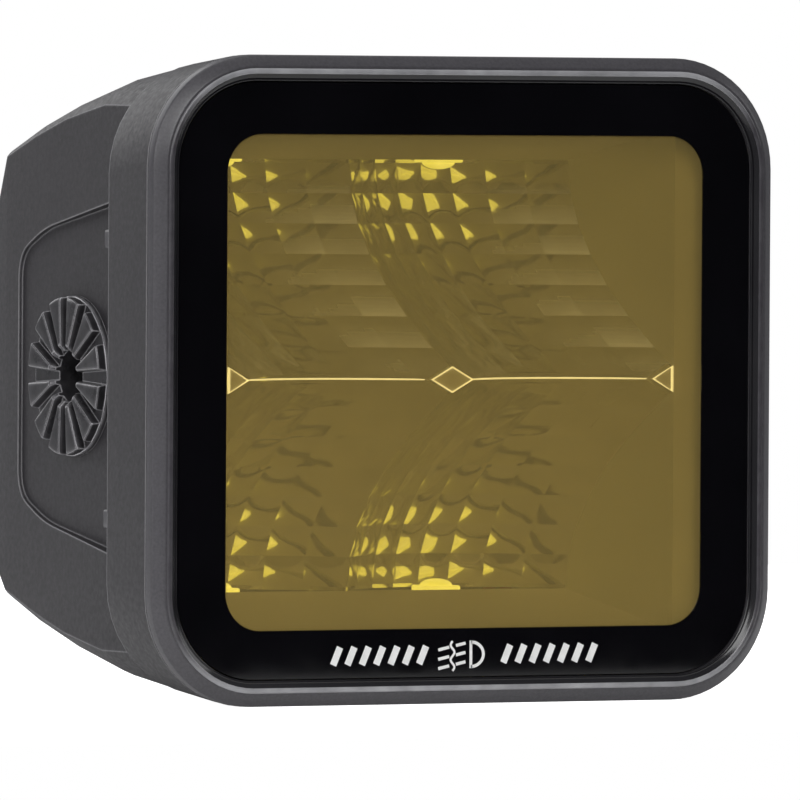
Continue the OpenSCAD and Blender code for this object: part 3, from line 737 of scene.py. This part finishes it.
def makeRidges():
    # a fine rounded bead along the level crest between upper and lower bowls, glowing as a painted
    # highlight: a circle carried along d = apex - (x^2 + h^2) / 4f
    look = reflectorLook
    bead = beadLook
    fourF, halfW, _ = bowlCurve()
    s = np.linspace(-1.0, 1.0, 61)
    a = np.linspace(0.0, 2 * math.pi, 13)[:-1]
    shell = Shell()
    for side in (-1, 1):
        off = s * (look["bowlW"] / 2 - halfW * bead["gap"])
        depth = look["ridge"] + look["depth"] - (off * off + look["bowlH"] ** 2) / fourF
        thick = bead["thick"] * (0.6 + 0.4 * np.sqrt(np.clip(1.0 - s ** 6, 0.0, 1.0)))
        x = side * look["bowlW"] / 2 + off
        grid = place(x[:, None] + 0.0 * a, depth[:, None] + bead["sink"] - thick[:, None] * np.cos(a),
                     thick[:, None] * np.sin(a))
        shell.addGrid(grid, closeColumns=True)
        shell.addCap(grid[0])
        shell.addCap(grid[-1])
    makePiece("ridgeBeads", shell, crestPaintedGlow, 40.0)


makeRidges()

ledLook = {
    "half": 2.5, "base": 0.8, "ease": 0.15, "cornerR": 0.4, "domeR": 2.2, "domeH": 0.95, "domeSink": 0.05,
}


def makeLeds(node, name, down):
    # each package is a rounded square plate with a flattened dome: height h * cos(t) at radius r * sin(t)
    look = ledLook
    low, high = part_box(node)
    plane = (high[2] if down else low[2]) / mm
    sign = -1 if down else 1
    depth = (low[1] + high[1]) / 2 / mm - frontY / mm
    plate = [(look["half"], 0.0), (look["half"], look["base"] - look["ease"]),
             (look["half"] - look["ease"], look["base"])]
    t = np.linspace(math.pi / 2, 0.06, 9)
    a = np.linspace(0.0, 2 * math.pi, 33)[:-1]
    shell = Shell()
    for side in (-1, 1):
        x0 = side * reflectorLook["bowlW"] / 2
        rings = []
        for half, rise in plate:
            ring = roundedRing(half, half, look["cornerR"], 5, 3)
            rings.append(place(x0 + ring[:, 0], depth + ring[:, 1], plane + sign * rise))
        shell.addGrid(np.stack(rings), closeColumns=True)
        shell.addCap(rings[0])
        shell.addCap(rings[-1])
        r = look["domeR"] * np.sin(t)[:, None]
        rise = look["base"] - look["domeSink"] + look["domeH"] * np.cos(t)[:, None]
        dome = place(x0 + r * np.cos(a), depth + r * np.sin(a), plane + sign * rise)
        shell.addGrid(dome, closeColumns=True)
        shell.addCap(dome[0])
        shell.addCap(dome[-1])
    # the packages carry the phosphor's painted glow
    piece = makePiece(name, shell, phosphorPaintedGlow, 40.0)
    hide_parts(node)


makeLeds("leds_upper", "ledPackagesUpper", True)
makeLeds("leds_lower", "ledPackagesLower", False)
print("reflector made")

housingPiece = eased("housing", "dieCastHousing", coat, 0.3, 3)

hubLook = {
    "foot": 39.5, "base": 0.8, "top": 2.1, "outerR": 10.5, "toothR": 10.35, "boreR": 3.4, "sinkR": 4.0,
    "sinkDrop": 0.7, "boreEnd": -8.4, "sleeveR": 6.0, "sleeveEnd": -10.0, "teeth": 12,
    "gapInner": 1.1, "gapOuter": 1.9,
}


def makeHub(side):
    # height over (radius, angle): the groove floor lies at base, the tooth tops at top; the groove's edges
    # run at angle asin((w(r) / 2 + offset) / r), so that its walls stay parallel to its middle line
    look = hubLook
    top = look["top"]
    base = look["base"]
    r1 = look["boreR"]
    r2 = look["toothR"]
    stations = [(0.02, look["boreEnd"], look["boreEnd"]), (r1, look["boreEnd"], look["boreEnd"]),
                (r1, 0.0, 0.0), (r1, top - look["sinkDrop"], base - 0.02),
                (look["sinkR"] - 0.1, top - 0.12, base), (look["sinkR"] + 0.1, top, base)]
    stations += [(r, top, base) for r in np.linspace(look["sinkR"] + 0.5, r2 - 0.45, 9)]
    stations += [(r2 - 0.28, top - 0.02, base), (r2 - 0.12, top - 0.09, base), (r2 - 0.03, top - 0.22, base),
                 (r2, top - 0.4, base), (r2, base + 0.05, base - 0.01),
                 (look["outerR"] - 0.06, base, base - 0.02),
                 (look["outerR"], base - 0.12, base - 0.12), (look["outerR"], 0.0, 0.0),
                 (look["sleeveR"], 0.0, 0.0), (look["sleeveR"], look["sleeveEnd"], look["sleeveEnd"]),
                 (0.02, look["sleeveEnd"], look["sleeveEnd"])]
    r, hTooth, hGroove = np.array(stations, float).T
    offsets = np.array([-1.0, 0.0, 0.07, 0.14, 0.25, 0.4])
    rise = np.array([0.0, 0.0, 0.74, 0.9, 0.975, 1.0])
    half = (look["gapInner"] + (look["gapOuter"] - look["gapInner"]) * (r - r1) / (r2 - r1)) / 2
    half = np.clip(half, 0.3, 1.1)
    reach = np.where(offsets[None, :] < 0.0, 0.0, half[:, None] + offsets[None, :])
    sector = 2 * math.pi / look["teeth"]
    edge = np.arcsin(np.clip(reach / np.maximum(r, 1.6)[:, None], 0.0, 0.97))
    edge = np.minimum(edge, sector / 2 * np.array([0.0, 0.62, 0.68, 0.74, 0.82, 0.9])[None, :] + 1e-9)
    middle = np.full((len(r), 1), sector / 2)
    oneSide = np.concatenate([edge, middle, sector - edge[:, :0:-1]], axis=1)
    shape = np.concatenate([rise, [1.0], rise[:0:-1]])
    turns = np.arange(look["teeth"]) * sector
    angle = (turns[None, :, None] + oneSide[:, None, :]).reshape(len(r), -1)
    lift = np.tile(shape, look["teeth"])[None, :]
    height = hGroove[:, None] + (hTooth - hGroove)[:, None] * lift
    x = (look["foot"] + height) * side
    grid = np.stack([x * mm, r[:, None] * np.cos(angle) * mm, r[:, None] * np.sin(angle) * mm], axis=-1)
    shell = Shell()
    shell.addGrid(grid, closeColumns=True)
    shell.addCap(grid[0])
    shell.addCap(grid[-1])
    name = "Right" if side > 0 else "Left"
    piece = makePiece("serratedHub" + name, shell, hubSteel, 40.0)
    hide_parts("hub_insert_" + name.lower())


for side in (-1, 1):
    makeHub(side)
eased("cable_gland", "cableGland", blackNylon, 0.3, 3)
eased("breather_vent", "breatherVent", blackNylon, 0.2, 2)
print("housing made")

signLook = {"centreZ": -35.6, "height": 3.2, "stroke": 0.4, "lift": 0.03}


def strokeRibbon(shell, points, width, depth):
    # a flat ribbon of even width along a line of points, with its own thickness
    points = np.asarray(points, float)
    ahead = np.gradient(points, axis=0)
    ahead /= np.linalg.norm(ahead, axis=1)[:, None]
    across = np.stack([-ahead[:, 1], ahead[:, 0]], axis=-1) * width / 2
    left = points + across
    right = points - across
    front = depth - signLook["lift"]
    grid = np.stack([place(left[:, 0], front, left[:, 1]), place(right[:, 0], front, right[:, 1]),
                     place(right[:, 0], depth, right[:, 1]), place(left[:, 0], depth, left[:, 1])])
    shell.addGrid(grid, closeRows=True)
    shell.addCap(grid[:, 0])
    shell.addCap(grid[:, -1])


def makeSign():
    # the usual dashboard sign for a fog lamp: a D outline, three slanted rays and a wavy line across them
    look = signLook
    shell = Shell()
    z0 = look["centreZ"]
    h = look["height"]
    depth = (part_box("lens_mask")[0][1] - frontY) / mm
    a = np.linspace(math.pi / 2, -math.pi / 2, 25)
    bow = np.stack([0.9 + 1.15 * h / 2 * np.cos(a), z0 + h / 2 * np.sin(a)], axis=-1)
    strokeRibbon(shell, bow, look["stroke"], depth)
    strokeRibbon(shell, [[0.9, z0 - h / 2 - 0.2], [0.9, z0], [0.9, z0 + h / 2 + 0.2]], look["stroke"], depth)
    for k in (-1, 0, 1):
        z = z0 + k * h * 0.38
        strokeRibbon(shell, [[0.1, z + 0.25], [-1.3, z - 0.05]], look["stroke"], depth)
        strokeRibbon(shell, [[-2.3, z - 0.25], [-3.9, z - 0.6]], look["stroke"], depth)
    s = np.linspace(0.0, 1.0, 25)
    wave = np.stack([-1.8 + 0.28 * np.sin(s * 4 * math.pi), z0 - h * 0.66 + s * h * 1.2], axis=-1)
    strokeRibbon(shell, wave, look["stroke"] * 0.75, depth)
    for side in (-1, 1):
        for k in range(7):
            x = side * (6.2 + k * 2.1)
            strokeRibbon(shell, [[x - 0.5, z0 - h * 0.36], [x, z0], [x + 0.5, z0 + h * 0.36]], 0.95, depth)
    piece = makePiece("fogLampSign", shell, whitePrint, 30.0)


makeSign()
print("sign made")

viewLook = {
    "azimuth": -28.0, "elevation": 1.2, "roll": 0.35, "distance": 1.68, "lens": 582.0,
    "aimRight": -7.71, "aimUp": -2.66, "aimDepth": 2.8,
}


def makeCamera():
    # stands at distance along the azimuth and elevation from the aim, turned by roll about its own axis
    look = viewLook
    az = math.radians(look["azimuth"])
    el = math.radians(look["elevation"])
    back = np.array([math.sin(az) * math.cos(el), -math.cos(az) * math.cos(el), math.sin(el)])
    right = np.array([math.cos(az), math.sin(az), 0.0])
    up = np.cross(back, right)
    target = np.array([0.0, look["aimDepth"] * mm + frontY, 0.0])
    target = target + right * look["aimRight"] * mm + up * look["aimUp"] * mm
    turn = math.radians(look["roll"])
    rolledRight = right * math.cos(turn) + up * math.sin(turn)
    rolledUp = up * math.cos(turn) - right * math.sin(turn)
    position = target + back * look["distance"]
    data = bpy.data.cameras.new("viewCamera")
    data.lens = look["lens"]
    data.sensor_width = 36.0
    data.clip_end = 50.0
    camera = bpy.data.objects.new("viewCamera", data)
    matrix = np.eye(4)
    matrix[:3, 0] = rolledRight
    matrix[:3, 1] = rolledUp
    matrix[:3, 2] = back
    matrix[:3, 3] = position
    camera.matrix_world = Matrix(matrix.tolist())
    bpy.context.scene.collection.objects.link(camera)
    bpy.context.scene.camera = camera


makeCamera()

lightLook = {
    "keyLeft": {"azimuth": -72.0, "elevation": 24.0, "distance": 0.9, "size": 0.6, "watts": 2.7},
    "frontHigh": {"azimuth": -22.0, "elevation": 30.0, "distance": 0.9, "size": 0.5, "watts": 4.2},
    "rightFront": {"azimuth": 75.0, "elevation": 20.0, "distance": 1.0, "size": 0.4, "watts": 0.9},
    "topSoft": {"azimuth": 160.0, "elevation": 75.0, "distance": 0.8, "size": 0.6, "watts": 1.1},
    "backFill": {"azimuth": 190.0, "elevation": 25.0, "distance": 1.0, "size": 0.7, "watts": 2.5},
}


def makeLights():
    # each soft square light hangs at its azimuth, elevation and distance, facing the origin
    for name, look in lightLook.items():
        az = math.radians(look["azimuth"])
        el = math.radians(look["elevation"])
        away = Vector((math.sin(az) * math.cos(el), -math.cos(az) * math.cos(el), math.sin(el)))
        data = bpy.data.lights.new(name, "AREA")
        data.shape = "SQUARE"
        data.size = look["size"]
        data.energy = look["watts"]
        light = bpy.data.objects.new(name, data)
        light.location = away * look["distance"]
        light.rotation_euler = away.to_track_quat("Z", "Y").to_euler()
        bpy.context.scene.collection.objects.link(light)


makeLights()

floorLook = {"reach": 0.42, "ahead": -0.115, "tone": (1.0, 1.0, 1.0), "glow": 1.0, "spill": 0.1}


def makeFloor():
    # a flat grid under the lamp, cut off in front of it; it glows white, and spills only a little light
    look = floorLook
    reach = look["reach"]
    material, tree, shader, output = newMaterial("paleFloor")
    drift = objectNoise(tree, 3.0, 2.0)
    tone = ramp(tree, drift, [(0.3, (0.985, 0.985, 0.985)), (0.7, look["tone"])])
    tree.links.new(tone, shader.inputs["Base Color"])
    shader.inputs["Roughness"].default_value = 0.9
    shader.inputs["Specular IOR Level"].default_value = 0.0
    tree.links.new(tone, shader.inputs["Emission Color"])
    path = tree.nodes.new("ShaderNodeLightPath")
    tree.links.new(spread(tree, path.outputs["Is Camera Ray"], look["spill"], look["glow"], 0.0, 1.0),
                   shader.inputs["Emission Strength"])
    line = np.linspace(-reach, reach, 9)
    gx, gy = np.meshgrid(line, line, indexing="ij")
    gy = np.maximum(gy, look["ahead"] + 0.001 * gy)
    grid = np.stack([gx, gy, np.full_like(gx, cadBox[0][2])], axis=-1)
    mesh = bpy.data.meshes.new("paleFloor")
    mesh.from_pydata(grid.reshape(-1, 3).tolist(), [], gridFaces(9, 9).tolist())
    mesh.materials.append(material)
    floor = bpy.data.objects.new("paleFloor", mesh)
    bpy.context.scene.collection.objects.link(floor)


makeFloor()

studioLook = {
    "darkSide": (0.469, -0.883, 0.0), "surround": (0.012, 0.24), "fade": (0.55, 0.93),
    "tint": (0.94, 0.95, 1.0),
}


def makeWorld():
    # the camera sees plain white; everything else gets a dim soft surround, darkest towards darkSide
    world = bpy.data.worlds.new("studio")
    bpy.context.scene.world = world
    world.use_nodes = True
    tree = world.node_tree
    tree.nodes.clear()
    output = tree.nodes.new("ShaderNodeOutputWorld")
    white = tree.nodes.new("ShaderNodeBackground")
    white.inputs["Color"].default_value = (1.0, 1.0, 1.0, 1.0)
    dim = tree.nodes.new("ShaderNodeBackground")
    dim.inputs["Color"].default_value = (*studioLook["tint"], 1.0)
    coords = tree.nodes.new("ShaderNodeTexCoord")
    along = tree.nodes.new("ShaderNodeVectorMath")
    along.operation = "DOT_PRODUCT"
    along.inputs[1].default_value = studioLook["darkSide"]
    tree.links.new(coords.outputs["Generated"], along.inputs[0])
    low, high = studioLook["surround"]
    dimming = spread(tree, along.outputs["Value"], high, low, *studioLook["fade"])
    tree.links.new(dimming, dim.inputs["Strength"])
    path = tree.nodes.new("ShaderNodeLightPath")
    mix = tree.nodes.new("ShaderNodeMixShader")
    tree.links.new(path.outputs["Is Camera Ray"], mix.inputs["Fac"])
    tree.links.new(dim.outputs["Background"], mix.inputs[1])
    tree.links.new(white.outputs["Background"], mix.inputs[2])
    tree.links.new(mix.outputs["Shader"], output.inputs["Surface"])


makeWorld()
bpy.context.scene.view_settings.view_transform = "Standard"
bpy.context.scene.view_settings.look = "None"
print("stage made")
